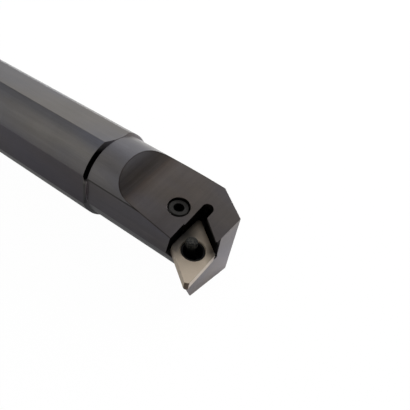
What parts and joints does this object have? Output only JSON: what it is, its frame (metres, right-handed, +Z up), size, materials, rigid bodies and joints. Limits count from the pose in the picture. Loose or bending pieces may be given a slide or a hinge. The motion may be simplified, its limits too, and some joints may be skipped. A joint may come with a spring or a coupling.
{
  "type": "boring bar",
  "caption": "Left-hand boring bar with a round shank with clamping flats and a lever-clamped rhombic pocket, shown with its support plate and without an insert.",
  "frame": {"origin": "centre of the rear end face of the shank", "axes": "+X along the bar to the head, +Z up, square to the top clamping flat, -Y to the cutting side"},
  "size_m": [0.299, 0.0352, 0.03],
  "materials": {
    "oxide_steel": "dark oxide coated steel, satin",
    "plate_carbide": "ground sintered carbide, matt tan grey",
    "pin_steel": "black spring steel",
    "lever_steel": "dark hardened steel",
    "screw_steel": "black screw steel"
  },
  "bodies": {
    "bar_body": {"bar": "oxide_steel", "support_plate": "plate_carbide", "plate_pin": "pin_steel"},
    "screw_body": {"lever_screw": "screw_steel"},
    "lever_body": {"lever": "lever_steel"}
  },
  "joints": [
    {"name": "screw_travel", "type": "slide", "parent": "bar_body", "child": "screw_body", "axis": [0.1513, -0.1717, 0.9735], "range_m": [0, 0.0019]},
    {"name": "lever_rock", "type": "hinge", "parent": "bar_body", "child": "lever_body", "pos_m": [0.29294, -0.00925, -0.00956], "axis": [0.4702, 0.8788, 0.0819], "range_deg": [0, 8.5]}
  ],
  "couplings": [
    {"joint": "lever_rock", "follows": "screw_travel", "rad_per_m": 71.43}
  ]
}
